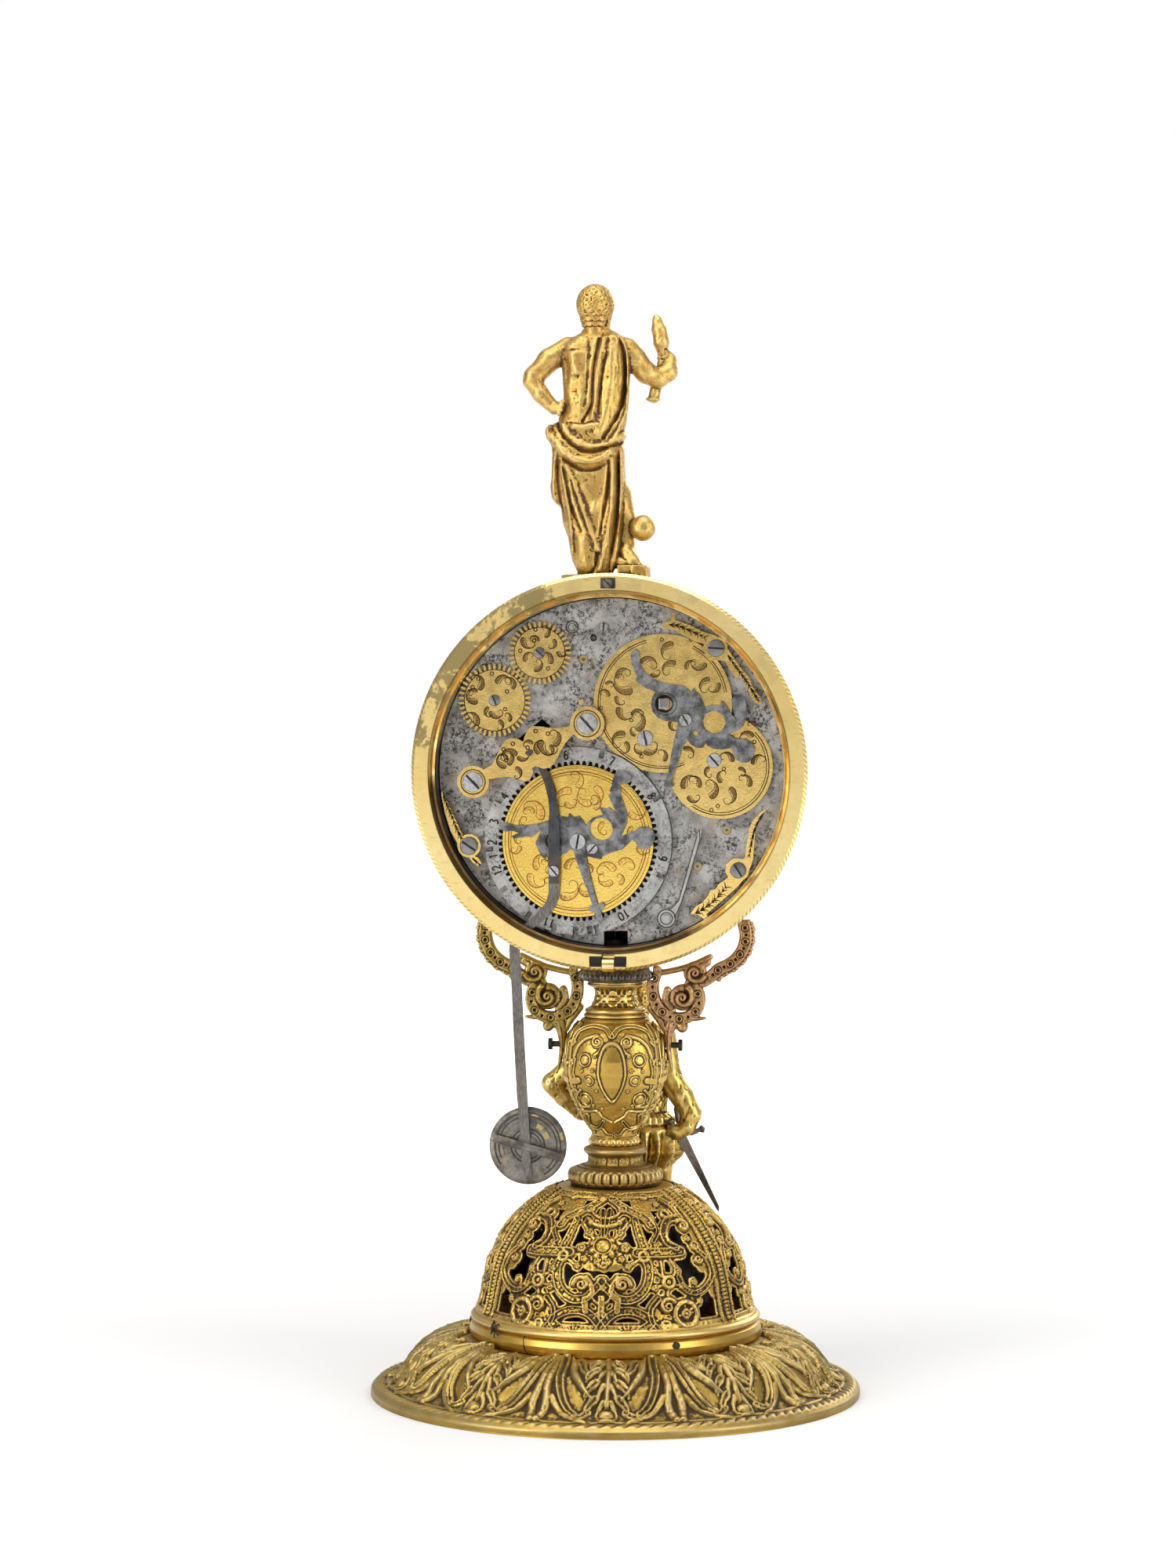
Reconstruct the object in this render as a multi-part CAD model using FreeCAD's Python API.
import FreeCAD, Part
import os, math
from FreeCAD import Vector as V

# Gilt-metal table clock: round drum movement on a figured stem and a domed foot.
# Millimetres. Origin at the centre of the foot's underside, +Z up.
# The movement (back) side faces -Y, the dial side faces +Y.

# ---- driving dimensions -------------------------------------------------
H_TOTAL = 325.7      # top of the figure's hair
R_FOOT = 72.2        # lip of the foot
ZC = 182.9           # height of the drum's axis
R_BEZ = 57.4         # outer moulding of the rear bezel
R_BAND = 54.0        # outside of the drum band
R_SEAT = 50.6        # bore of the band where the plates sit
R_PLATE = 50.3       # movement plates
Y_BACK = -21.0       # flat face of the rear bezel
Y_BANDB = -17.6      # rear edge of the band
Y_BANDF = 17.0       # front edge of the band
PL_B0, PL_B1 = -12.2, -10.4   # back plate
PL_F0, PL_F1 = 11.6, 13.4     # front plate
Y_HINGE, Z_HINGE = -19.4, 127.3
CLR = 0.05           # running clearance on shafts
R_STEM = 3.2         # hollow stem tube

# plan positions on the plates, from the drum's axis (right, up)
G = (15.76, 19.74)    # fusee
BARREL = (31.67, 2.53)
A2 = (1.68, 13.50)
A3 = (-8.78, 20.16)
VERGE = (-22.9, 5.6)
S = (-16.5, -20.0)    # strike barrel
Q = (2.33, -3.54)     # strike second arbor
FLY = (12.82, -10.92)
COUNT = (-9.5, -20.1)
GEAR_A = (-20.70, 34.50)
GEAR_B = (-33.90, 20.70)
COVER_C = (15.21, 19.86)
COVER_D = (31.83, 1.65)
F1 = (-39.48, -2.90)
F2 = (-6.22, 14.03)

os.makedirs("parts", exist_ok=True)
NODES = []


def save(name, shape):
    if isinstance(shape, (list, tuple)):
        shape = Part.makeCompound(list(shape))
    shape.exportStep("parts/%s.step" % name)
    NODES.append(name)


# ---- helpers ------------------------------------------------------------
def fuse(parts):
    s = parts[0]
    if len(parts) > 1:
        s = s.fuse(parts[1:])
    return s.removeSplitter()


def slab(pts, ya, yb):
    """flat piece: outline (right, up) about the drum axis, from y=ya to y=yb"""
    w = Part.makePolygon([V(u, ya, ZC + v) for u, v in pts] + [V(pts[0][0], ya, ZC + pts[0][1])])
    return Part.Face(w).extrude(V(0, yb - ya, 0))


def slab_abs(pts, ya, yb):
    w = Part.makePolygon([V(x, ya, z) for x, z in pts] + [V(pts[0][0], ya, pts[0][1])])
    return Part.Face(w).extrude(V(0, yb - ya, 0))


def cy(c, r, ya, yb):
    return Part.makeCylinder(r, yb - ya, V(c[0], ya, ZC + c[1]), V(0, 1, 0))


def cz(x, y, r, za, zb):
    return Part.makeCylinder(r, zb - za, V(x, y, za), V(0, 0, 1))


def rev_z(prof, x=0.0, y=0.0):
    w = Part.makePolygon([V(r + x, y, z) for r, z in prof] + [V(prof[0][0] + x, y, prof[0][1])])
    return Part.Face(w).revolve(V(x, y, 0), V(0, 0, 1), 360)


def rev_y(prof, c=(0.0, 0.0)):
    """profile of (radius, y) turned about an axis along Y through c"""
    w = Part.makePolygon([V(c[0] + r, y, ZC + c[1]) for r, y in prof] + [V(c[0] + prof[0][0], prof[0][1], ZC + c[1])])
    return Part.Face(w).revolve(V(c[0], 0, ZC + c[1]), V(0, 1, 0), 360)


def box(x0, y0, z0, x1, y1, z1):
    return Part.makeBox(x1 - x0, y1 - y0, z1 - z0, V(x0, y0, z0))


def limb(p, q, r0, r1):
    p, q = V(*p), V(*q)
    d = q.sub(p)
    if abs(r0 - r1) < 0.01:
        c = Part.makeCylinder(r0, d.Length, p, d)
    else:
        c = Part.makeCone(r0, r1, d.Length, p, d)
    return [c, Part.makeSphere(r0, p), Part.makeSphere(r1, q)]


def tooth_pts(n, m, phase, internal=False):
    rp = n * m / 2.0
    p = 2 * math.pi / n
    pts = []
    for k in range(n):
        a = phase + k * p
        if internal:
            seq = [(-0.30, rp + 1.10 * m), (-0.10, rp - 0.85 * m), (0.10, rp - 0.85 * m), (0.30, rp + 1.10 * m)]
        else:
            seq = [(-0.30, rp - 1.15 * m), (-0.10, rp + 0.85 * m), (0.10, rp + 0.85 * m), (0.30, rp - 1.15 * m)]
        for f, r in seq:
            pts.append((r * math.cos(a + f * p), r * math.sin(a + f * p)))
    return pts


def gear(c, n, m, ya, yb, phase):
    return slab([(c[0] + a, c[1] + b) for a, b in tooth_pts(n, m, phase)], ya, yb)


def ang(a, b):
    return math.atan2(b[1] - a[1], b[0] - a[0])


def mesh_phase(driver, n1, ph1, follower, n2):
    """phase that puts a gap of the follower on the driver's tooth line"""
    a = ang(driver, follower)
    p1, p2 = 2 * math.pi / n1, 2 * math.pi / n2
    # fraction of a pitch between the line of centres and the nearest driver tooth
    f = ((a - ph1) / p1) % 1.0
    b = a + math.pi
    return b + (0.5 - (1 - f)) * p2 + 0.0


def square(c, side, ya, yb):
    h = side / 2.0
    return box(c[0] - h, ya, ZC + c[1] - h, c[0] + h, yb, ZC + c[1] + h)


def screw(c, r, y_seat, y_head, slot_deg, depth, shank=0.85):
    """slotted screw: head proud of y_seat up to y_head, shank into the work"""
    s = cy(c, r, y_head, y_seat).fuse(cy(c, shank, y_seat, y_seat + depth))
    w, h = r * 0.16, abs(y_seat - y_head) * 0.55
    sl = box(-r * 1.1, y_head - 0.1, -w, r * 1.1, y_head + h, w)
    sl.rotate(V(0, 0, 0), V(0, 1, 0), slot_deg)
    sl.translate(V(c[0], 0, ZC + c[1]))
    return s.cut(sl)


# ---- foot, dome and bell ------------------------------------------------
foot = rev_z([(34.0, 16.8), (39, 16.8), (44, 17.2), (50, 16.2), (55, 14.4), (58.5, 12), (61, 8.8), (62.8, 5.8),
              (65, 4.6), (68.5, 4.2), (70.5, 3.8), (R_FOOT, 2.6), (R_FOOT, 0), (64.0, 0), (61.0, 2.2), (58.4, 7.4),
              (56, 10.2), (53, 12.2), (49, 13.6), (44, 14.6), (34.0, 14.4)])
save("foot", foot)

base_plate = rev_z([(R_STEM + CLR, 16.9), (37.0, 16.9), (37.0, 18.6), (R_STEM + CLR, 18.6)])

ring = rev_z([(37.4, 16.9), (42.0, 17.1), (42.7, 18.2), (42.9, 19.6), (42.4, 21.2), (41.2, 22.2), (37.4, 22.2)])
pins, pin_holes = [], []
for a in (math.pi, math.pi / 3, -math.pi / 3):
    d = V(math.cos(a), math.sin(a), 0)
    pins.append(Part.makeCylinder(1.0, 7.0, V(d.x * 36.2, d.y * 36.2, 20.4), d))
    pin_holes.append(Part.makeCylinder(1.02, 12.0, V(d.x * 34.0, d.y * 34.0, 20.4), d))
ring = ring.cut(Part.makeCompound(pin_holes))
save("foot_ring", ring)

dome_out = [(42.6, 22.3), (42.6, 24.2), (40.2, 25.2), (40.1, 26.2), (39.3, 28), (38.6, 31.7), (37.7, 35.4), (37, 39.1), (36.1, 42.8),
            (33.1, 46.5), (31, 50), (25, 55.7), (22.8, 57.5), (21.2, 59.3), (17.3, 61.2)]
dome_in = [(5.0, 61.2), (5.0, 59.6), (16.4, 59.6), (20.0, 57.9), (21.6, 56.2), (23.8, 54.5), (29.7, 49.0), (31.7, 45.6), (34.5, 42.2),
           (35.4, 39.0), (36.1, 35.2), (37.0, 31.4), (36.6, 27.6), (35.6, 18.7), (37.3, 18.7), (37.3, 22.3)]
dome = rev_z(dome_out + dome_in)
cuts = []
for k in range(3):
    base = -90 + 120 * k
    # pierced openings of one panel: (angle, height, across, tall)
    for da, z, w, h in ((0, 50.5, 9, 5), (-20, 47, 8, 5.5), (20, 47, 8, 5.5), (-10, 40.5, 6, 5), (10, 40.5, 6, 5), (-31, 39.5, 7, 5.5),
                        (31, 39.5, 7, 5.5), (-16, 32.5, 7, 4.5), (16, 32.5, 7, 4.5), (0, 31.5, 6, 4), (-38, 31, 6, 4.5), (38, 31, 6, 4.5)):
        b = box(20, -w / 2, z - h / 2, 50, w / 2, z + h / 2)
        b.rotate(V(0, 0, 0), V(0, 0, 1), base + da)
        cuts.append(b)
dome = dome.cut(Part.makeCompound(cuts))
dome = dome.cut(Part.makeCompound(pin_holes))
L_STUDS = (1.4, 10.0)
for sx in L_STUDS:
    dome = dome.cut(cz(sx, 20.6, 1.05, 48, 64))
save("dome_cover", dome)
save("dome_pins", pins)

bell = rev_z([(28.0, 25.5), (27.4, 31), (25.8, 37), (22.4, 43.4), (16.4, 49), (8.6, 52.2), (R_STEM + CLR, 53), (R_STEM + CLR, 51.2),
              (8.0, 50.5), (15.6, 47.3), (21.0, 42.2), (24.2, 36.4), (25.6, 30.8), (26.2, 25.5)])
save("bell", bell)
bell_nut = rev_z([(R_STEM + CLR, 53.1), (6.0, 53.1), (6.0, 56.0), (R_STEM + CLR, 56.0)])

# hammer: pivots on a bracket of the base plate, its head just inside the bell's wall
HX, HZ = 18.5, 24.0
hammer = fuse([limb((HX, 0, HZ), (19.6, 0, 36.5), 0.9, 0.9)[0], Part.makeSphere(2.5, V(19.9, 0, 37.5)),
               Part.makeCylinder(2.0, 3.0, V(HX, -1.5, HZ), V(0, 1, 0)),
               slab_abs([(HX, HZ - 0.8), (0.9, 26.4), (-1.2, 27.0), (-1.2, 28.4), (0.9, 28.0), (HX, HZ + 1.0)], -0.6, 0.6)])
hammer = hammer.cut(Part.makeCylinder(0.85, 4.0, V(HX, -2, HZ), V(0, 1, 0)))
save("bell_hammer", hammer)
hb = fuse([base_plate, box(HX - 2.4, -3.6, 18.5, HX + 2.4, -1.8, 26.2), box(HX - 2.4, 1.8, 18.5, HX + 2.4, 3.6, 26.2),
           Part.makeCylinder(0.8, 7.2, V(HX, -3.6, HZ), V(0, 1, 0)), box(HX - 2.4, -3.6, 18.5, HX + 2.4, 3.6, 19.7)])
save("base_plate", hb)

# ---- stem ---------------------------------------------------------------
tube = cz(0, 0, R_STEM, 15.2, 133.6).cut(cz(0, 0, 2.0, 14.0, 135.0))
tube = tube.cut(box(-1.9, -1.0, 22.0, 6.0, 1.0, 30.0))
save("stem_tube", tube)
stem_nut = rev_z([(R_STEM + CLR, 12.6), (7.0, 12.6), (7.0, 16.8), (R_STEM + CLR, 16.8)])
save("hammer_rod", cz(0, 0, 0.8, 29.4, 136.0))

b = R_STEM + CLR
save("stem_collar", rev_z([(b, 61.3), (12.6, 61.3), (13.6, 62.6), (13.8, 64.4), (13.2, 66.0), (11.8, 66.8), (9.6, 67.0), (8.3, 67.6), (8.1, 69.8),
                           (9.2, 70.6), (9.4, 71.6), (8.4, 72.4), (7.2, 72.9), (7.4, 74.3), (6.6, 75.5), (b, 75.5)]))
vase = rev_z([(b, 75.6), (6.4, 75.6), (6.6, 77.2), (9.4, 80.8), (12.5, 86.5), (14.6, 91), (15.4, 94.8), (15.4, 98.5), (14.8, 103),
              (13.6, 106.5), (11.4, 109), (9.5, 110.4), (b, 110.4)])
for sg in (1, -1):
    vase = vase.cut(Part.makeCylinder(0.9, 4.0, V(sg * 12.8, 0, 102.4), V(sg, 0, 0)))
save("stem_vase", vase)
save("stem_neck", rev_z([(b, 110.5), (9.3, 110.5), (9.1, 112), (7.4, 113.6), (6.0, 115.4), (5.5, 117), (6.0, 119), (7.8, 120.2), (8.2, 121.2),
                         (b, 121.2)]))
seat = rev_z([(b, 121.3), (10.6, 121.3), (11.1, 122.8), (10.4, 124.6), (9.0, 131.5), (b, 131.5)])
seat = seat.cut(Part.makeCylinder(R_BAND + 0.02, 60, V(0, -30, ZC), V(0, 1, 0)))
seat = [s for s in seat.Solids if s.BoundBox.ZMin < 125][0]
save("drum_seat", seat)
save("stem_nuts", [stem_nut, bell_nut, rev_z([(b, 131.2), (5.4, 131.2), (5.4, 133.4), (b, 133.4)])])

# ---- scroll brackets under the drum ------------------------------------
def ribbon(path, ya, yb):
    out = []
    for i in range(len(path) - 1):
        (x0, z0, r0), (x1, z1, r1) = path[i], path[i + 1]
        dx, dz = x1 - x0, z1 - z0
        d = math.hypot(dx, dz)
        nx, nz = -dz / d, dx / d
        out.append(slab_abs([(x0 + nx * r0, z0 + nz * r0), (x1 + nx * r1, z1 + nz * r1), (x1 - nx * r1, z1 - nz * r1),
                             (x0 - nx * r0, z0 - nz * r0)], ya, yb))
        out.append(Part.makeCylinder(r1, yb - ya, V(x1, ya, z1), V(0, 1, 0)))
    return out


BR = [(-38.2, 136.3, 1.5), (-39.0, 132.6, 1.8), (-37.6, 129.3, 1.9), (-34.9, 126.6, 1.9), (-31.6, 124.4, 1.9), (-28.4, 123.6, 2.0),
      (-25.6, 123.8, 2.6), (-23.7, 123.7, 3.0), (-20.6, 119.6, 3.2), (-19.7, 116.8, 4.9), (-17.4, 112.2, 3.6), (-15.6, 109.2, 2.6),
      (-17.2, 104.5, 2.1), (-17.2, 100.0, 1.7), (-16.9, 96.6, 0.9)]
BR2 = [(-12.6, 122.6, 1.6), (-11.7, 119.2, 1.6), (-12.5, 115.6, 1.6), (-14.8, 112.4, 2.0)]
for nm, sg in (("bracket_left", 1), ("bracket_right", -1)):
    ps = ribbon([(sg * x, z, r) for x, z, r in BR], -2.3, 2.3) + ribbon([(sg * x, z, r) for x, z, r in BR2], -1.8, 1.8)
    s = fuse(ps)
    s = s.cut(Part.makeCylinder(R_BAND + 0.02, 60, V(0, -30, ZC), V(0, 1, 0)))
    s = s.cut(rev_z([(0, 90), (6.5, 77), (9.5, 80.8), (12.6, 86.5), (14.7, 91), (15.5, 94.8), (15.5, 98.5), (14.9, 103), (13.7, 106.5), (11.5, 109),
                     (9.6, 110.5), (9.2, 112), (9.2, 121.3), (11.2, 121.3), (11.2, 125), (10.0, 131), (0, 131)]))
    s = s.cut(Part.makeCylinder(0.9, 12, V(-sg * 8.0, 0, 102.4), V(-sg, 0, 0)).fuse(Part.makeCylinder(1.9, 4, V(-sg * 18.6, 0, 102.4), V(-sg, 0, 0))))
    s = max(s.Solids, key=lambda q: q.Volume)
    save(nm, s)
bs = []
for sg in (1, -1):
    bs.append(Part.makeCylinder(0.85, 5.6, V(sg * 13.1, 0, 102.4), V(sg, 0, 0)).fuse(Part.makeCylinder(1.7, 1.1, V(sg * 18.65, 0, 102.4), V(sg, 0, 0))))

# ---- figures ------------------------------------------------------------
def figure(parts):
    s = parts[0]
    for p in parts[1:]:
        s = s.fuse(p)
    return s


FX = -6.2
tf = []
tf += [Part.makeSphere(6.3, V(-6.2, 0.5, 319.2))]
tf += limb((-6.6, 0.5, 314.0), (-7.0, 0.2, 308.0), 3.2, 4.2)
for z, cx, hw, hd in ((303.5, -6.4, 12.5, 6.2), (296.0, -7.0, 10.8, 6.3), (288.5, -7.8, 10.2, 5.6), (280.0, -8.6, 10.6, 6.2), (272.0, -8.6, 10.4, 6.8),
                      (262.0, -8.6, 10.2, 6.6), (255.0, -7.0, 10.0, 6.0)):
    e = Part.makeSphere(1.0)
    m = FreeCAD.Matrix()
    m.scale(hw, hd, 6.5)
    e = e.transformGeometry(m)
    e.translate(V(cx, 0.3, z))
    tf.append(e)
tf += limb((-16.5, 0.5, 304.0), (-23.5, -1.5, 297.2), 3.6, 2.9)
tf += limb((-23.5, -1.5, 297.2), (-18.2, 0.5, 290.0), 2.9, 2.2)
tf += limb((4.0, 0.5, 305.0), (9.4, -0.5, 297.2), 3.6, 2.8)
tf += limb((9.4, -0.5, 297.2), (14.6, 1.5, 302.2), 2.8, 2.6)
tf += limb((13.2, 1.8, 316.2), (10.4, 1.6, 292.0), 0.9, 1.6)
tf += limb((-8.6, 0.2, 256.0), (-9.2, 0.5, 243.0), 5.8, 3.4)
tf += limb((-2.0, 2.0, 258.0), (6.6, 3.5, 249.5), 5.6, 4.0)
tf += limb((6.6, 3.5, 249.5), (7.4, 2.5, 243.2), 3.6, 3.2)
tf += [Part.makeSphere(3.7, V(7.6, -2.0, 254.2))]
plinth = fuse([cz(-3.4, 0.0, 13.0, 234.0, 240.9)]).cut(Part.makeCylinder(R_BAND + 0.02, 60, V(0, -30, ZC), V(0, 1, 0)))
tf += [plinth]
top = figure(tf)
top = top.cut(box(-40, -40, H_TOTAL, 40, 40, 400))
studs = []
for sx in (-10.0, 4.0):
    top = top.cut(cz(sx, 0, 1.25, 228, 242.6))
    studs.append(cz(sx, 0, 1.2, 231.6, 242.5))
top = max(top.Solids, key=lambda q: q.Volume)
save("top_figure", top)

lf = []
lf += [Part.makeSphere(5.2, V(4.0, 18.5, 114.8))]
lf += limb((4.0, 18.4, 110.5), (4.0, 18.2, 107.0), 2.8, 3.6)
for z, cx, cyy, hw, hd in ((101.0, 3.6, 18.4, 10.6, 5.6), (94.0, 3.6, 19.6, 9.4, 6.2), (87.0, 3.8, 20.2, 8.6, 5.8), (76.0, 5.8, 20.6, 14.6, 7.6), (70.0, 6.0, 20.6, 13.4, 7.4)):
    e = Part.makeSphere(1.0)
    m = FreeCAD.Matrix()
    m.scale(hw, hd, 6.2)
    e = e.transformGeometry(m)
    e.translate(V(cx, cyy, z))
    lf.append(e)
lf += limb((-5.0, 18.4, 103.0), (-18.4, 18.0, 90.6), 3.8, 3.2)
lf += limb((-18.4, 18.0, 90.6), (-8.0, 21.0, 84.0), 3.0, 2.4)
lf += limb((12.4, 18.4, 103.0), (23.6, 17.6, 85.2), 3.8, 3.4)
lf += limb((23.6, 17.6, 85.2), (16.6, 17.0, 77.0), 3.0, 2.6)
lf += limb((0.0, 20.8, 68.0), (-1.0, 23.2, 59.4), 4.0, 2.8)
lf += limb((11.4, 20.8, 68.0), (12.4, 23.2, 59.4), 4.0, 2.8)
low = figure(lf)
dome_solid = rev_z([(0, 20), (42.9, 22.0), (42.9, 24.4), (40.5, 25.4), (40.4, 26.4), (39.6, 28.1), (38.9, 31.8), (38.0, 35.5), (37.3, 39.2), (36.4, 43.0),
                    (33.4, 46.7), (31.3, 50.2), (25.2, 56.0), (23.0, 57.8), (21.4, 59.6), (17.4, 61.5), (0, 61.6)])
low = low.cut(dome_solid)
vase_solid = rev_z([(0, 61), (13.9, 61), (14.1, 64), (13.5, 67), (9.8, 68), (9.8, 73), (7.8, 76), (9.8, 80.8), (12.9, 86.5), (15.0, 91), (15.8, 94.8), (15.8, 98.5),
                    (15.2, 103), (14.0, 106.5), (11.8, 109), (9.8, 111), (9.8, 125), (0, 125)])
low = low.cut(vase_solid)
low = max(low.Solids, key=lambda q: q.Volume)
sword = fuse([slab_abs([(16.9, 72.6), (28.4, 52.2), (29.2, 51.2), (29.3, 52.6), (19.6, 73.4)], 16.4, 17.6),
              slab_abs([(14.4, 71.6), (24.0, 75.2), (23.6, 76.2), (14.0, 72.7)], 15.9, 18.1)] + limb((18.0, 17.0, 74.2), (17.0, 17.0, 81.6), 1.0, 1.3))
sword = sword.cut(dome_solid)
sword = max(sword.Solids, key=lambda q: q.Volume)
low = low.cut(sword)
low = max(low.Solids, key=lambda q: q.Volume)
lstud = []
for sx in L_STUDS:
    lstud.append(cz(sx, 20.6, 1.0, 50.0, 66.0))
for s_ in lstud:
    low = low.cut(s_)
low = max(low.Solids, key=lambda q: q.Volume)
save("lower_figure", low)
save("lower_sword", sword)

# ---- drum band ----------------------------------------------------------
band = rev_y([(R_BAND, Y_BANDB), (R_BAND, Y_BANDF), (52.2, Y_BANDF), (52.2, 13.6), (R_SEAT, 13.6), (R_SEAT, 11.5), (52.2, 11.5), (52.2, -8.2),
              (R_SEAT, -8.2), (R_SEAT, -10.35), (R_SEAT + 0.01, -10.35), (R_SEAT + 0.01, -16.9), (R_SEAT + 0.01, Y_BANDB)])
# slot for the pendulum rod, lower left
sl = []
a0, a1 = math.radians(180 + 22), math.radians(180 + 74)
N = 14
op = [(48.0 * math.cos(a0 + (a1 - a0) * i / N), 48.0 * math.sin(a0 + (a1 - a0) * i / N)) for i in range(N + 1)]
oq = [(56.0 * math.cos(a1 - (a1 - a0) * i / N), 56.0 * math.sin(a1 - (a1 - a0) * i / N)) for i in range(N + 1)]
band = band.cut(slab(op + oq, -18.0, -14.4))
# latch recess and fixed knuckle
band = band.cut(box(-4.0, -18.0, ZC + 50.0, 4.0, -16.2, ZC + 55.0))
knk = Part.makeCylinder(1.95, 3.4, V(-1.7, Y_HINGE, Z_HINGE), V(1, 0, 0))
lug = box(-1.7, -19.0, Z_HINGE + 0.2, 1.7, -15.6, 131.4).cut(Part.makeCylinder(52.3, 60, V(0, -30, ZC), V(0, 1, 0)))
lug = lug.cut(Part.makeCylinder(R_BAND - 1.0, 60, V(0, -30, ZC), V(0, 1, 0)))
band = fuse([band, knk, lug])
band = band.cut(Part.makeCylinder(0.8 + CLR, 6, V(-3, Y_HINGE, Z_HINGE), V(1, 0, 0)))
band = band.cut(cz(0, 0, R_STEM + CLR, 120, 134))
for st in studs:
    bb = st.BoundBox
    band = band.cut(cz((bb.XMin + bb.XMax) / 2, 0, 1.25, 228, 242))
band = max(band.Solids, key=lambda q: q.Volume)
save("drum_band", band)
nuts = []
for st in studs:
    bb = st.BoundBox
    x0 = (bb.XMin + bb.XMax) / 2
    zi = ZC + math.sqrt(52.2 ** 2 - (abs(x0) + 2.9) ** 2) - 0.15
    nuts.append(cz(x0, 0, 2.9, zi - 2.0, zi).cut(cz(x0, 0, 1.2, 220, 245)))
save("case_fasteners", bs + studs + lstud + nuts)

# ---- rear bezel with its hinge and latch -------------------------------
bez = rev_y([(52.4, Y_BACK), (56.5, Y_BACK), (56.9, -20.6), (57.4, -20.1), (57.4, -19.3), (56.8, -18.6), (56.2, -17.8), (50.8, -17.8), (50.8, -18.6),
             (51.4, -19.2), (52.0, -20.4)])
bez = bez.cut(box(-5.4, -22, 120, 5.4, -17, 129.6))
bez = bez.cut(Part.makeCylinder(2.4, 3.8, V(-1.9, Y_HINGE, Z_HINGE), V(1, 0, 0))).cut(box(-1.9, -21.9, 124, 1.9, -17.2, 131.9 - 1.0))
kn = []
for sx in (-1, 1):
    x0 = 1.85 if sx > 0 else -5.2
    kn.append(Part.makeCylinder(1.7, 3.35, V(x0, Y_HINGE, Z_HINGE), V(1, 0, 0)))
    kn.append(box(x0, -20.9, Z_HINGE, x0 + 3.35, -18.2, 130.9))
bez = fuse([bez] + kn)
bez = bez.cut(Part.makeCylinder(0.8, 14, V(-7, Y_HINGE, Z_HINGE), V(1, 0, 0)))
bez = bez.cut(box(-2.15, -21.4, ZC + 52.9, 2.15, -20.3, ZC + 56.0))
bez = bez.cut(cy((0.0, 54.4), 0.75, -22, -16))
save("rear_bezel", max(bez.Solids, key=lambda q: q.Volume))
save("bezel_hinge_pin", Part.makeCylinder(0.8, 10.8, V(-5.4, Y_HINGE, Z_HINGE), V(1, 0, 0)))
save("latch_plate", box(-2.1, -21.15, ZC + 52.95, 2.1, -20.35, ZC + 55.95).cut(cy((0.0, 54.4), 0.75, -22, -16)))
ls = fuse([cy((0.0, 54.4), 0.70, -21.2, -16.5), cy((0.0, 54.4), 1.45, -21.75, -21.2), box(-1.9, -17.4, ZC + 53.7, 1.9, -16.6, ZC + 54.9 - 0.1)])
ls = ls.cut(box(-1.6, -21.9, ZC + 54.2, 1.6, -21.5, ZC + 54.6))
save("latch_screw", ls)

# ---- dial side ----------------------------------------------------------
fb = rev_y([(49.5, 21.0), (53.6, 21.0), (54.6, 20.3), (55.0, 19.3), (54.6, 18.2), (55.0, 17.4), (54.6, 17.1), (52.15, 17.1), (52.15, 16.2), (51.0, 16.2),
            (50.4, 17.2), (49.0, 19.0)])
save("front_bezel", fb)
save("dial_plate", rev_y([(3.4, 15.2), (50.9, 15.2), (50.9, 16.15), (46.0, 16.15), (45.6, 16.9), (33.4, 16.9), (33.0, 16.15), (3.4, 16.15)]))
save("hour_hand", fuse([slab([(-0.9, -9), (0.9, -9), (1.2, 0), (1.0, 16), (3.0, 21), (0.0, 36), (-3.0, 21), (-1.0, 16), (-1.2, 0)], 17.7, 18.4), cy((0, 0), 3.0, 17.6, 19.2)])
     .cut(cy((0, 0), 1.5, 16, 21)))

# ---- plates and frame ---------------------------------------------------
bp = cy((0, 0), R_PLATE, PL_B0, PL_B1)
holes = [cy(G, 2.25, -13, -10), cy(S, 2.05, -13, -10), cy(BARREL, 1.65, -13, -10), cy(Q, 1.25, -13, -10), cy(A2, 0.85, -13, -10),
         cy(A3, 0.85, -13, -10), cy(FLY, 0.65, -13, -10), cy((-5.10, 38.83), 1.0, -13, -10), cy((-2.15, 42.01), 0.9, -13, -10),
         cy(GEAR_A, 1.05, -13, -10), cy(GEAR_B, 1.05, -13, -10)]
# oblong opening for the pallet arbor
holes.append(slab([(-30.9, 6.4), (-20.2, 15.3), (-17.6, 13.2), (-28.6, 3.6)], -13, -10))
holes.append(cy(VERGE, 1.5, -13, -10))
holes.append(slab([(-2.1, -46.2), (4.9, -46.2), (4.9, -51), (-2.1, -51)], -13, -10))
bp = bp.cut(Part.makeCompound(holes))
fp = cy((0, 0), R_PLATE, PL_F0, PL_F1)
fholes = [cy(G, 1.05, 10, 15), cy(S, 1.55, 10, 15), cy(BARREL, 1.55, 10, 15), cy(Q, 0.85, 10, 15), cy(A2, 1.05, 10, 15), cy(A3, 0.85, 10, 15),
          cy(FLY, 0.65, 10, 15), cy(VERGE, 0.65, 10, 15)]
fp = fp.cut(Part.makeCompound(fholes))
pil = []
for c in ((0.0, 46.4), (-45.4, 11.5), (33.0, -33.0), (-43.6, -21.0), (44.0, 20.0)):
    bp = bp.cut(cy(c, 1.25, -13, -10))
    fp = fp.cut(cy(c, 1.25, 10, 15))
    pil.append(fuse([cy(c, 2.2, PL_B1, PL_F0), cy(c, 1.2, PL_B0, PL_B1), cy(c, 1.2, PL_F0, PL_F1), cy(c, 2.7, -2.0, 3.0)]))
for c in (F1, F2, (30.78, 35.77), (-41.2, -21.6), (37.22, -28.27)):
    bp = bp.cut(cy(c, 1.0, -13, -10))
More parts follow.
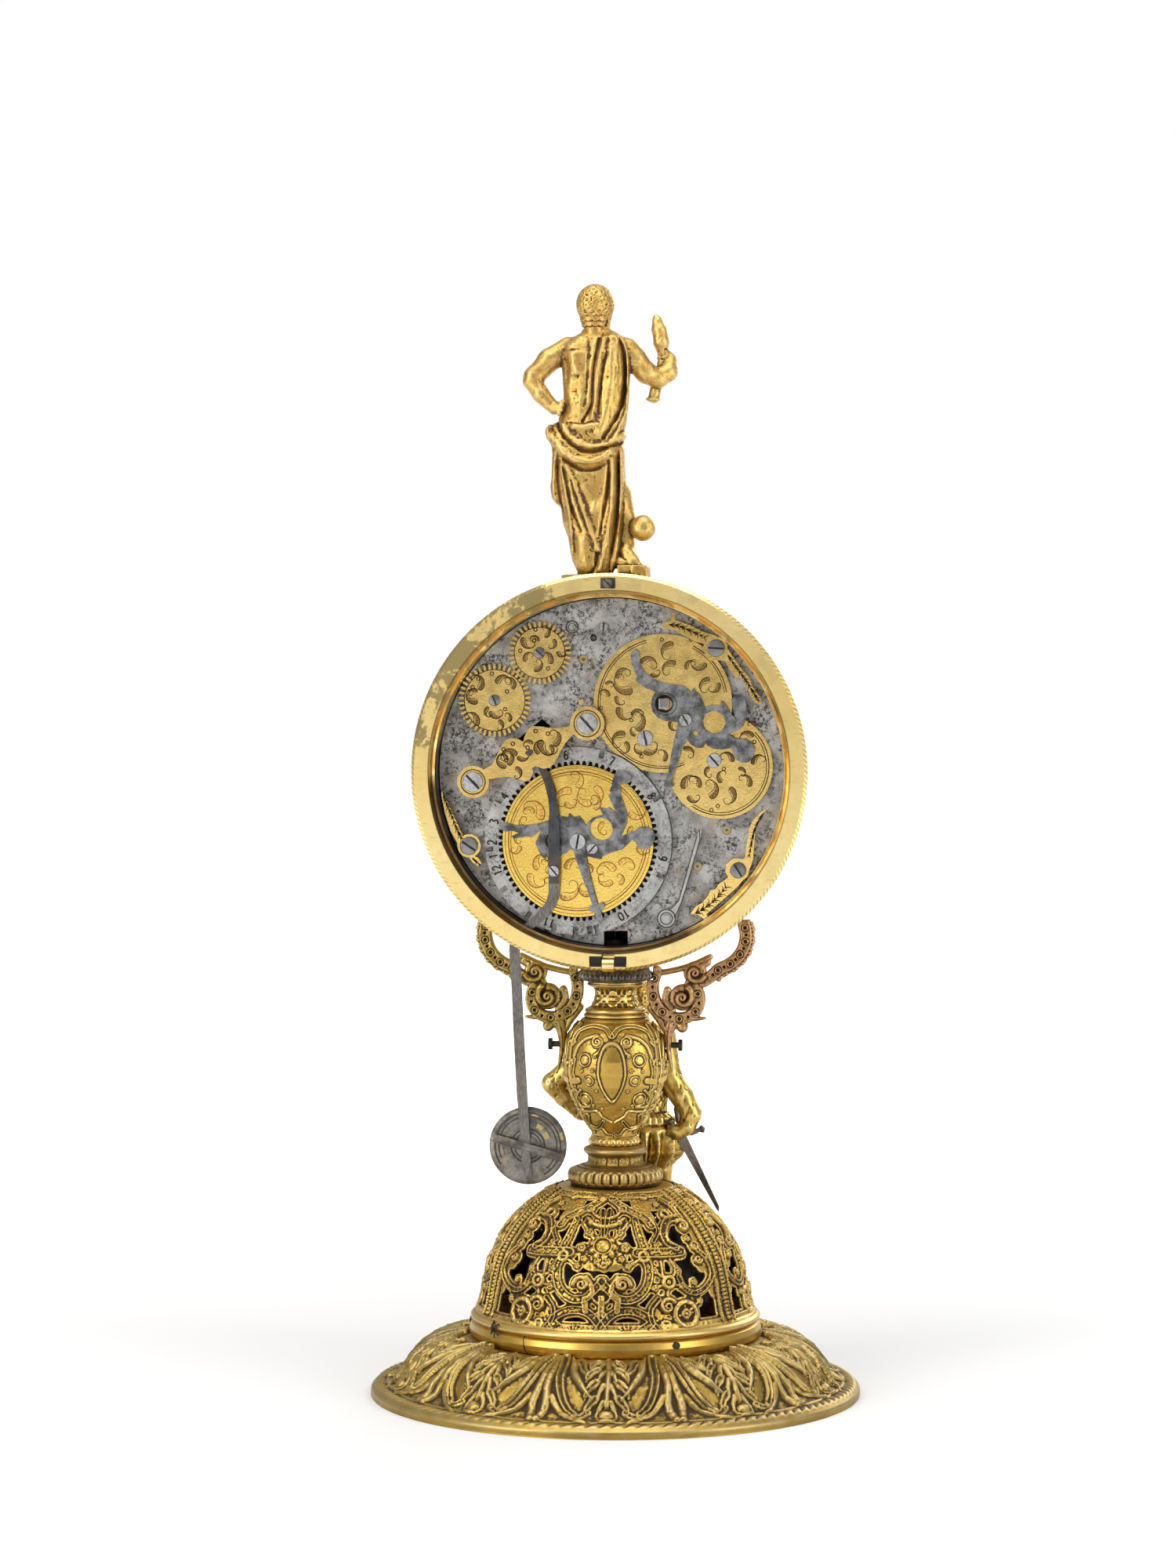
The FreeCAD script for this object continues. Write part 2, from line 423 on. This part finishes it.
bp = bp.cut(cy((16.25, -42.46), 1.05, -13, -10))
for c in ((-9.34, -20.2), (10.18, 9.7)):
    bp = bp.cut(cy(c, 0.9, -13, -10))
fp = fuse([fp, cy((0, 0), 1.3, PL_F0, 20.2), cy((0, 0), 2.6, 10.6, PL_F0)])
save("back_plate", bp)
save("front_plate", fp)
save("plate_pillars", pil)

# ---- count wheel side ---------------------------------------------------
cd = fuse([cy(COUNT, 22.05, -14.0, PL_B0), cy(COUNT, 21.7, -14.7, -14.0)])
cd = cd.cut(cy(Q, 3.3, -13.95, -12.0)).cut(cy(S, 2.3, -15, -12)).cut(cy((-9.34, -20.2), 1.1, -15, -12))
save("count_disc", cd)
N_CW, M_CW = 78, 2 * 22.68 / 78.0
cph = 0.0
R_OUT = 27.3
ring_o = cy(COUNT, R_OUT, -13.75, -12.4)
ring_i = slab([(COUNT[0] + a, COUNT[1] + b_) for a, b_ in tooth_pts(N_CW, M_CW, cph, True)], -13.9, -12.2)
cw = ring_o.cut(ring_i)
notch = []
acc = 0.0
CW_START = math.radians(74.6)     # first notch; the lobe of ten strokes follows it clockwise
order = [10, 11, 12, 1, 2, 3, 4, 5, 6, 7, 8, 9]
for h in order:
    a = CW_START - acc * 2 * math.pi / 78.0
    acc += h
    nb = box(24.9, -15, -0.75, 29.0, -11, 0.75)
    nb.rotate(V(0, 0, 0), V(0, 1, 0), -math.degrees(a))
    nb.translate(V(COUNT[0], 0, ZC + COUNT[1]))
    notch.append(nb)
cw = cw.cut(Part.makeCompound(notch))
cw = max(cw.Solids, key=lambda q: q.Volume)
save("count_wheel", cw)

COCK_LO = [(-32.65, -15.54), (-31.64, -14.93), (-30.43, -14.73), (-28.0, -15.54), (-24.76, -15.54), (-22.33, -15.34), (-19.9, -14.73), (-18.28, -14.25),
           (-16.26, -13.11), (-14.84, -12.79), (-12.21, -13.19), (-11.89, -12.02), (-10.59, -13.11), (-8.97, -12.71), (-7.96, -13.92), (-6.87, -15.74),
           (-6.54, -14.73), (-4.92, -13.19), (-1.89, -12.38), (-3.22, -10.2), (-1.08, -10.77), (-0.39, -10.2), (0.83, -11.09), (1.96, -11.98), (1.07, -10.08),
           (0.42, -8.66), (-0.47, -6.64), (0.42, -6.47), (-0.07, -5.42), (0.58, -3.8), (0.83, -2.18), (1.35, -0.56), (2.77, 0.45), (4.79, 0.25), (6.21, -1.17),
           (6.01, -2.79), (4.59, -3.48), (3.09, -3.19), (3.17, -6.64), (4.19, -9.47), (5.04, -11.9), (5.04, -14.73), (3.98, -17.16), (3.17, -18.86),
           (5.2, -17.65), (7.3, -17.0), (8.52, -15.95), (10.95, -15.74), (12.77, -17.16), (13.17, -19.19), (12.36, -21.21), (10.54, -22.5), (8.52, -22.02),
           (7.5, -20.4), (6.49, -19.59), (3.66, -22.42), (0.42, -23.31), (-2.01, -24.5), (-2.49, -25.34), (-6.14, -24.53), (-6.95, -24.53), (-8.16, -23.23),
           (-10.19, -22.83), (-11.6, -22.42), (-12.61, -23.64), (-15.04, -24.37), (-17.07, -24.25), (-18.28, -23.96), (-18.77, -25.34), (-19.7, -24.77),
           (-20.91, -22.83), (-21.68, -20.6), (-20.91, -18.78), (-19.9, -16.68), (-21.52, -17.97), (-22.74, -19.02), (-24.15, -18.78), (-28.0, -19.39),
           (-28.81, -18.78), (-26.38, -17.77), (-28.81, -17.08), (-30.43, -17.49), (-31.64, -16.68)]
cb = slab(COCK_LO, -15.7, -14.75)
cb = cb.cut(cy(S, 2.15, -16, -14)).cut(cy((-2.49, -16.55), 3.3, -16, -14)).cut(cy((-9.34, -20.2), 1.1, -16, -14)).cut(cy((-5.09, -22.22), 0.75, -16, -14))
save("count_bridge", cb)
HAND_LO = [(-10.72, -22.42), (-9.71, -25.66), (-8.09, -30.12), (-6.27, -34.97), (-5.06, -38.41), (-6.07, -39.02), (-6.07, -40.24), (-4.65, -40.64),
           (-4.04, -42.26), (-2.63, -44.08), (-1.82, -43.27), (-2.22, -41.45), (-2.63, -40.24), (-1.53, -39.22), (-1.53, -38.21), (-2.22, -37.73),
           (-3.44, -38.41), (-4.65, -34.16), (-5.66, -30.12), (-6.47, -26.47), (-7.08, -22.83), (-7.4, -20.2), (-8.6, -18.3), (-10.4, -18.6), (-11.2, -20.2)]
pointer_lo = (slab(HAND_LO, -16.2, -15.75).cut(cy((-9.34, -20.2), 1.1, -17, -15)))

# ---- going side covers --------------------------------------------------
ld = cy(COVER_D, 15.2, -13.1, PL_B0).cut(cy((30.1, 3.3), 0.9, -14, -12))
save("lower_disc", ld)
ud = cy(COVER_C, 20.1, -14.0, -13.15).fuse(cy((13.0, 22.0), 9.5, -13.15, PL_B0))
ud = ud.cut(cy(COVER_D, 15.6, -13.12, -12.0))
ud = ud.cut(cy(COUNT, 27.75, -14.5, -12)).cut(cy(F2, 5.1, -14.5, -12)).cut(cy(G, 2.6, -15, -12)).cut(cy(A2, 1.3, -13.0, -12.0)).cut(cy((10.18, 9.7), 1.0, -15, -12))
ud = max(ud.Solids, key=lambda q: q.Volume)
save("upper_disc", ud)
COCK_UP = [(7.4, 35.54), (6.35, 34.9), (5.97, 33.58), (6.27, 31.32), (7.21, 29.07), (7.85, 27.64), (7.48, 26.63), (8.23, 25.69), (10.22, 24.26),
           (12.29, 23.58), (13.2, 23.2), (12.29, 21.74), (11.84, 19.67), (12.29, 17.6), (13.79, 15.72), (15.67, 14.86), (17.55, 14.6), (19.62, 14.41),
           (20.56, 13.66), (22.25, 9.52), (23.56, 7.94), (25.44, 6.89), (27.02, 7.08), (27.7, 8.58), (28.19, 7.72), (29.95, 6.74), (32.21, 6.52), (35.41, 6.97),
           (35.67, 5.39), (36.53, 3.7), (38.22, 2.68), (40.1, 2.94), (41.42, 4.45), (41.91, 6.52), (41.23, 8.39), (39.35, 9.45), (36.35, 9.6), (35.03, 10.46),
           (34.28, 11.1), (37.1, 11.97), (38.6, 13.58), (39.35, 16.29), (39.54, 19.3), (38.98, 21.36), (37.47, 22.3), (35.97, 22.12), (35.14, 20.99),
           (35.29, 19.3), (35.97, 17.04), (36.65, 15.09), (35.41, 16.48), (34.09, 18.73), (32.96, 20.24), (32.14, 20.61), (32.0, 19.4), (31.27, 19.22),
           (29.95, 19.3), (28.45, 19.22), (27.25, 18.84), (27.14, 19.86), (26.2, 21.93), (24.13, 24.26), (23.64, 22.98), (22.44, 24.11), (20.93, 25.01),
           (17.93, 25.39), (15.67, 25.69), (13.79, 26.33), (11.54, 27.57), (9.66, 29.45), (8.6, 31.7), (8.6, 33.58), (8.38, 34.9)]
ub = slab(COCK_UP, -15.0, -14.05)
ub = ub.cut(cy(G, 2.6, -16, -14)).cut(cy((30.15, 14.4), 3.2, -16, -14)).cut(cy((24.81, 11.1), 0.75, -16, -14)).cut(cy((21.92, 15.08), 0.9, -16, -14))
save("going_bridge", ub)
HAND_UP = [(19.7, 14.03), (18.76, 9.9), (17.71, 4.64), (16.89, -0.63), (16.32, -2.32), (15.11, -2.18), (15.92, -2.79), (15.64, -4.0), (16.2, -4.81),
           (15.92, -6.64), (16.16, -8.74), (16.57, -6.64), (17.05, -4.81), (18.59, -4.0), (17.94, -2.79), (18.67, -2.18), (17.94, -1.78), (18.4, -1.0),
           (19.52, 2.0), (21.02, 7.27), (22.52, 9.52), (24.2, 14.2), (23.2, 16.6), (21.0, 16.8)]
save("bridge_pointers", [pointer_lo, slab(HAND_UP, -15.5, -15.05).cut(cy((21.92, 15.08), 0.9, -16, -14))])

# ---- pendulum cock ------------------------------------------------------
PCOCK = [(-10.54, 10.65), (-12.61, 8.39), (-14.11, 5.76), (-15.62, 2.76), (-17.12, 1.25), (-19.0, 0.99), (-21.25, 1.7), (-22.19, 1.25), (-21.93, -0.25),
         (-22.95, -2.13), (-24.26, -2.77), (-26.14, -2.21), (-29.15, -1.3), (-32.15, -1.6), (-34.79, -2.06), (-35.4, -2.4), (-36.6, 0.6), (-34.03, 2.0),
         (-32.53, 4.64), (-31.4, 7.27), (-29.9, 9.33), (-28.4, 9.79), (-26.14, 9.45), (-24.82, 8.7), (-24.45, 10.27), (-23.51, 12.34), (-22.01, 13.28),
         (-19.0, 13.09), (-16.37, 12.53), (-14.11, 12.72), (-11.48, 13.28), (-9.6, 15.2), (-8.0, 13.6)]
pc = [slab(PCOCK, -19.0, -17.8), cy(F1, 4.65, -19.0, -17.8), cy(F2, 4.9, -19.0, -17.8), cy(F1, 4.2, -17.8, PL_B0), cy(F2, 4.4, -17.8, PL_B0)]
pc = fuse(pc).cut(cy(VERGE, 0.95, -20, -17)).cut(cy(F1, 1.2, -20, -12)).cut(cy(F2, 1.2, -20, -12))
save("pendulum_cock", pc)

# screws that stay put
ms = [screw(F1, 2.95, -19.05, -19.9, 20, 8.5), screw(F2, 3.1, -19.05, -19.9, 110, 8.5),
      screw((-9.34, -20.2), 2.36, -16.25, -16.62, 35, 5.0), screw((-5.09, -22.22), 1.6, -15.75, -16.4, 80, 0.9, 0.7),
      screw((10.18, 9.7), 2.3, -14.05, -14.95, 60, 3.0), screw((30.1, 3.3), 2.15, -13.15, -14.0, 0, 0.85),
      screw((21.92, 15.08), 1.85, -15.55, -16.2, 25, 1.4), screw((-2.15, 42.01), 1.36, PL_B0 - 0.02, -12.8, 100, 1.6)]
save("movement_screws", ms)

# ---- verge, crutch and pendulum ----------------------------------------
va = fuse([cy(VERGE, 0.9, -20.2, 8.6), cy(VERGE, 0.6, 8.6, 12.9)])
STRAP = [(-21.4, 3.2), (-20.6, 1.06), (-18.9, -3.0), (-17.7, -7.85), (-17.4, -11.49), (-17.74, -15.54), (-17.74, -22.83), (-17.66, -26.88),
         (-17.5, -32.34), (-14.5, -32.34), (-14.34, -22.83), (-14.5, -15.54), (-15.2, -7.85), (-16.16, -4.61), (-17.6, -0.56), (-18.6, 1.6), (-19.6, 4.6), (-21.0, 7.4),
         (-24.0, 7.9), (-25.1, 5.4), (-24.2, 3.2)]
st = fuse([slab(STRAP, -17.5, -16.75), va])
st = st.cut(cy((-16.1, -28.7), 0.75, -18, -16))
save("verge_and_crutch", st)
ROD = [(-17.75, -29.6), (-17.75, -34.97), (-18.48, -37.81), (-20.5, -40.24), (-23.74, -43.47), (-27.47, -45.9), (-29.0, -48.4), (-29.3, -52.0), (-28.6, -62.0),
       (-27.9, -78.26), (-27.0, -94.69), (-26.4, -100.0), (-25.3, -117.5), (-22.8, -117.5), (-23.6, -100.0), (-24.0, -94.69), (-24.9, -78.26), (-25.7, -62.0),
       (-26.2, -52.0), (-25.9, -49.4), (-24.6, -47.2), (-21.31, -44.69), (-18.07, -42.06), (-15.85, -39.02), (-14.75, -36.19), (-14.5, -32.34), (-14.5, -29.6), (-16.1, -27.0)]
rod = slab(ROD, -16.7, -15.75).cut(cy((-16.1, -28.7), 0.75, -18, -15))
BOB = (-24.0, -108.8)
bob = rev_y([(0, -15.7), (2.5, -15.7), (3.2, -15.5), (10.2, -15.5), (11.3, -15.2), (11.3, -14.3), (10.6, -13.95), (0, -13.95)], BOB)
rod = rod.cut(bob)
rod = max(rod.Solids, key=lambda q: q.Volume)
save("pendulum_rod", rod)
a_b = math.atan2(-111.92 + 106.48, -14.1 + 33.82)
cbx, cbz = math.cos(a_b), math.sin(a_b)
mid = (-23.96, -109.2)
pts = []
for s1, s2 in ((-10.2, -1.2), (10.2, -1.2), (10.2, 1.2), (-10.2, 1.2)):
    pts.append((mid[0] + s1 * cbx - s2 * cbz, mid[1] + s1 * cbz + s2 * cbx))
save("pendulum_bob", [bob, slab(pts, -17.2, -16.75)])
save("pendulum_screw", fuse([cy((-16.1, -28.7), 1.6, -18.3, -17.55), cy((-16.1, -28.7), 0.7, -17.55, -15.8)])
     .cut(box(-18, -18.4, ZC - 28.9, -14, -18.0, ZC - 28.5)))

# ---- going train --------------------------------------------------------
PH0 = 0.0
fus = [gear(G, 48, 0.55, -9.4, -8.2, PH0), rev_y([(0, -8.2), (9.4, -8.2), (9.4, -6.8), (8.6, -5.0), (7.4, -2.0), (6.2, 1.5), (5.2, 5.0), (4.6, 8.4), (5.2, 8.4), (5.2, 9.2), (0, 9.2)], G),
       cy(G, 2.2, -14.0, -9.4), square(G, 2.9, -16.7, -13.9), cy(G, 1.0, 9.2, 13.2)]
save("fusee_wheel", fuse(fus))
save("going_barrel", fuse([cy(BARREL, 11.4, -5.6, 10.4), cy(BARREL, 1.6, -12.15, -5.6), cy(BARREL, 1.5, 10.4, 13.2)]))
ph2 = mesh_phase(G, 48, PH0, A2, 8)
ph2b = 0.0
m_h = 2 * math.hypot(A2[0], A2[1]) / 54.0
sec = [gear(A2, 8, 0.55, -9.6, -7.9, ph2), gear(A2, 54, 0.4, 9.6, 10.4, ph2b), cy(A2, 1.3, -8.0, 9.7), cy(A2, 1.0, 9.7, 14.0), cy(A2, 0.8, -12.0, -9.6), gear(A2, 10, m_h, 14.0, 15.0, 0.0)]
save("second_wheel", fuse(sec))
ph3 = mesh_phase(A2, 54, ph2b, A3, 8)
u = (A3[0] - VERGE[0], A3[1] - VERGE[1])
ul = math.hypot(*u)
ud_ = (u[0] / ul, u[1] / ul)
YC = 2.0
rim = rev_y([(0.8, -3.2), (8.5, -3.2), (8.5, -0.1), (7.5, -0.1), (7.5, -2.4), (0.8, -2.4)], A3)
teeth = []
a_face = math.atan2(-ud_[1], -ud_[0])
for k in range(40):
    a = a_face + math.radians(4.5) + k * 2 * math.pi / 40
    t = Part.makeBox(1.0, 0.85, 0.34, V(7.5, -0.12, -0.17))
    t.rotate(V(0, 0, 0), V(0, 1, 0), -math.degrees(a))
    t.translate(V(A3[0], 0, ZC + A3[1]))
    teeth.append(t)
con = [rim] + teeth + [gear(A3, 8, 0.4, 9.3, 10.8, ph3), cy(A3, 0.9, -5.7, 9.4), cy(A3, 0.8, -12.0, -5.6), cy(A3, 0.8, 10.7, 13.0)]
save("contrate_wheel", fuse(con))


def along(d, y=YC):
    return V(VERGE[0] + ud_[0] * d, y, ZC + VERGE[1] + ud_[1] * d)


DIR = V(ud_[0], 0, ud_[1])


def cross_gear(n, m, d0, d1, phase):
    pts = tooth_pts(n, m, phase)
    e1 = V(0, 1, 0)
    e2 = DIR.cross(e1)
    p0 = along(d0)
    ps = [p0.add(V(e1.x * a + e2.x * b2, e1.y * a + e2.y * b2, e1.z * a + e2.z * b2)) for a, b2 in pts]
    return Part.Face(Part.makePolygon(ps + [ps[0]])).extrude(V(DIR.x * (d1 - d0), 0, DIR.z * (d1 - d0)))


cr = [cross_gear(8, 0.4, 11.7, 13.3, math.pi), Part.makeCylinder(0.9, 9.6, along(2.4), DIR), Part.makeCylinder(0.7, 2.6, along(13.0), DIR),
      Part.makeCylinder(5.6, 0.7, along(2.7), DIR)]
for k in range(15):
    a = k * 2 * math.pi / 15
    e2 = DIR.cross(V(0, 1, 0))
    c = along(1.7).add(V(e2.x * 5.1 * math.sin(a), 5.1 * math.cos(a), e2.z * 5.1 * math.sin(a)))
    cr.append(Part.makeCylinder(0.34, 1.1, c, DIR))
save("crown_wheel", fuse(cr))
# potence: carries the crown arbor from the front plate
e2 = DIR.cross(V(0, 1, 0))


def pot(d0, d1, bore):
    o = along(d0, -1.0)
    ps = [o.add(V(e2.x * s_ * 2.0, 0, e2.z * s_ * 2.0)) for s_ in (-1, 1)]
    q0 = [ps[0], ps[1], ps[1].add(V(0, 12.55, 0)), ps[0].add(V(0, 12.55, 0))]
    s_ = Part.Face(Part.makePolygon(q0 + [q0[0]])).extrude(V(DIR.x * (d1 - d0), 0, DIR.z * (d1 - d0)))
    return s_.cut(Part.makeCylinder(bore, d1 - d0 + 1, along(d0 - 0.5), DIR))


save("crown_potence", [pot(5.2, 7.6, 0.95), pot(14.0, 15.4, 0.75)])
save("hour_wheel", fuse([gear((0, 0), 44, m_h, 14.05, 14.95, mesh_phase(A2, 10, 0.0, (0, 0), 44)), cy((0, 0), 3.0, 14.95, 17.5)]).cut(cy((0, 0), 1.35, 13, 18)))

# ---- strike train -------------------------------------------------------
m_s = 2 * math.hypot(Q[0] - S[0], Q[1] - S[1]) / 72.0
sb = [gear(S, 64, m_s, -9.4, -8.2, 0.0), cy(S, 12.4, -8.2, 9.4), cy(S, 2.0, -14.8, -9.4), square(S, 2.5, -16.3, -14.7), cy(S, 1.5, 9.4, 13.2)]
save("strike_barrel", fuse(sb))
phq = mesh_phase(S, 64, 0.0, Q, 8)
# outside pinion meshes with the internal teeth: a gap of the ring on a tooth of the pinion
aq = ang(COUNT, Q)
pr = 2 * math.pi / N_CW
f = ((aq - cph) / pr) % 1.0
phc = aq + (0.5 - f) * 2 * math.pi / 8
ss = [gear(Q, 8, m_s, -9.6, -7.8, phq), gear(Q, 50, 0.45, -5.0, -4.1, 0.0), cy(Q, 1.5, -7.9, 9.6), cy(Q, 1.2, -12.6, -9.6), cy(Q, 0.8, 9.6, 13.0),
      gear(Q, 8, M_CW, -13.7, -12.45, phc)]
save("strike_second_wheel", fuse(ss))
phf = mesh_phase(Q, 50, 0.0, FLY, 7)
fl = [gear(FLY, 7, 0.45, -5.3, -3.8, phf), cy(FLY, 0.8, -9.6, 9.6), cy(FLY, 0.6, -12.0, -9.6), cy(FLY, 0.6, 9.6, 13.0),
      box(FLY[0] - 6.8, 0.5, ZC + FLY[1] - 0.35, FLY[0] + 6.8, 8.5, ZC + FLY[1] + 0.35)]
save("fly", fuse(fl))

# ---- outside wheels, dogs and lever ------------------------------------
m_o = 2 * math.hypot(GEAR_A[0] - GEAR_B[0], GEAR_A[1] - GEAR_B[1]) / 78.0
ga = fuse([gear(GEAR_A, 36, m_o, -13.6, -12.4, 0.0), cy(GEAR_A, 1.0, -12.4, -10.6)])
gb = fuse([gear(GEAR_B, 42, m_o, -13.6, -12.4, mesh_phase(GEAR_A, 36, 0.0, GEAR_B, 42)), cy(GEAR_B, 1.0, -12.4, -10.6)])
ga = fuse([ga, cy(GEAR_A, 1.65, -14.2, -13.6)])
gb = fuse([gb, cy(GEAR_B, 1.65, -14.2, -13.6)])
save("upper_rear_gear", ga)
save("lower_rear_gear", gb)

DOG_TOP = [(18.11, 46.2), (19.0, 46.0), (18.68, 45.31), (18.87, 43.92), (20.56, 43.35), (23.19, 42.41), (26.95, 40.53), (30.52, 39.41), (32.4, 37.8),
           (34.2, 35.4), (36.0, 32.8), (38.6, 29.2), (40.2, 27.6), (41.23, 24.75), (43.5, 21.6), (44.0, 20.12), (43.19, 19.41), (41.42, 20.72), (40.03, 23.43),
           (39.28, 25.69), (37.85, 27.19), (36.35, 27.49), (34.47, 29.82), (33.34, 31.89), (31.83, 32.26), (29.58, 32.15), (27.7, 33.39), (27.02, 35.46),
           (27.25, 37.04), (24.69, 37.72), (21.68, 39.22), (19.05, 40.91), (15.67, 41.47), (15.03, 42.23), (15.67, 43.17), (17.74, 43.92), (18.0, 45.23)]
DOG_L = [(-49.2, -5.6), (-48.8, -6.9), (-47.6, -8.8), (-45.94, -12.3), (-44.04, -16.55), (-42.83, -18.98), (-41.0, -18.58), (-38.98, -19.59), (-38.58, -21.61),
         (-39.18, -23.23), (-40.11, -24.25), (-38.58, -25.06), (-37.6, -26.47), (-38.37, -27.48), (-40.11, -26.47), (-41.61, -24.37), (-43.43, -23.03),
         (-44.65, -20.8), (-46.67, -17.16), (-48.3, -11.9), (-49.3, -7.04)]
DOG_R = [(46.32, -9.87), (44.09, -11.17), (41.66, -13.52), (40.24, -16.35), (40.12, -18.58), (39.5, -21.5), (39.2, -24.6), (38.6, -25.0), (36.8, -24.9), (35.79, -24.9),
         (33.77, -26.47), (33.56, -28.9), (34.37, -30.32), (31.54, -32.34), (30.73, -33.76), (29.19, -34.16), (28.38, -35.86), (26.68, -37.81), (25.06, -38.7),
         (23.36, -40.84), (25.67, -41.25), (27.49, -42.5), (28.4, -41.6), (27.98, -41.05), (30.73, -38.6), (33.97, -35.8), (36.8, -33.2), (38.8, -30.9),
         (40.04, -29.31), (41.46, -25.26), (41.74, -22.02), (42.06, -17.97), (42.31, -15.54), (43.36, -12.71), (44.9, -11.09)]
for nm, poly, c, r in (("latch_dog_top", DOG_TOP, (30.78, 35.77), 2.5), ("latch_dog_left", DOG_L, (-41.2, -21.6), 2.6), ("latch_dog_right", DOG_R, (37.22, -28.27), 2.3)):
    yb0 = -15.3
    d = fuse([slab(poly, yb0, -14.3), cy(c, 1.95, -14.3, -12.25), cy(c, r + 0.8, yb0, -14.3), cy(c, 0.95, -12.25, -10.6)])
    hd = screw(c, r, yb0, yb0 - 0.8, 30, 0.3)
    save(nm, fuse([d, hd]))
LEVER = [(26.57, -16.68), (26.08, -19.59), (23.33, -29.31), (20.7, -38.01), (20.09, -39.22), (19.48, -41.05), (18.47, -43.07), (16.85, -44.28),
         (15.23, -44.08), (14.02, -42.66), (14.42, -41.05), (16.04, -40.03), (17.46, -39.83), (18.47, -38.41), (19.69, -37.4), (21.1, -32.54),
         (23.33, -24.45), (25.15, -18.38), (25.56, -17.16)]
lv = fuse([slab(LEVER, -13.3, -12.4), cy((16.25, -42.46), 2.9, -13.3, -12.4), square((16.25, -42.46), 2.0, -14.4, -13.2), cy((16.25, -42.46), 1.0, -12.5, -10.6)])
save("detent_lever", lv)

# ---- summary ------------------------------------------------------------
print(len(NODES), "nodes")
for n in NODES:
    s = Part.read("parts/%s.step" % n)
    bbx = s.BoundBox
    bad = "" if s.isValid() else "  INVALID"
    print("%-22s solids %d  vol %9.1f  box [%.1f %.1f %.1f] [%.1f %.1f %.1f]%s" % (
        n, len(s.Solids), s.Volume, bbx.XMin, bbx.YMin, bbx.ZMin, bbx.XMax, bbx.YMax, bbx.ZMax, bad))
